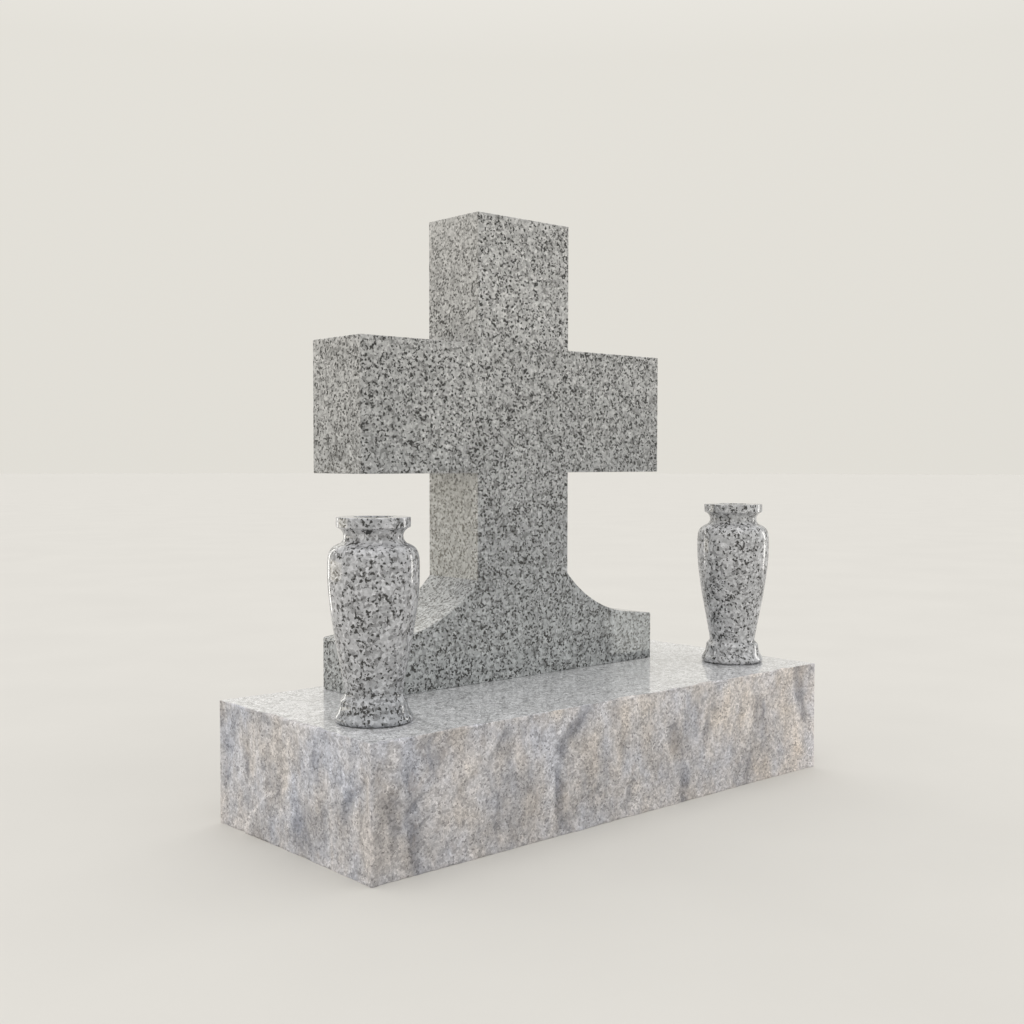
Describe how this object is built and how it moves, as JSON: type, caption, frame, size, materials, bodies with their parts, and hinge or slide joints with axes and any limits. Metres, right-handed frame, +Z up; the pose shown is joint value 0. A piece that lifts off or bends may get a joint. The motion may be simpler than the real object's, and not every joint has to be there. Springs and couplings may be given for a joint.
{
  "type": "cross memorial",
  "caption": "Latin cross memorial in speckled granite: one slab cross flaring into a foot, standing on a rock-pitched base block with a polished top, flanked by turned hollow vases.",
  "frame": {"origin": "centre of the base block's underside", "axes": "+X along the base to the right as seen from the front, +Y to the back, +Z up"},
  "size_m": [0.77, 0.312, 0.752],
  "materials": {
    "pitched_granite": "rock-pitched sides, polished top",
    "polished_granite": "polished",
    "turned_granite": "polished"
  },
  "bodies": {
    "root": {"base": "pitched_granite", "cross": "polished_granite", "vase_left": "turned_granite", "vase_right": "turned_granite"}
  },
  "joints": []
}
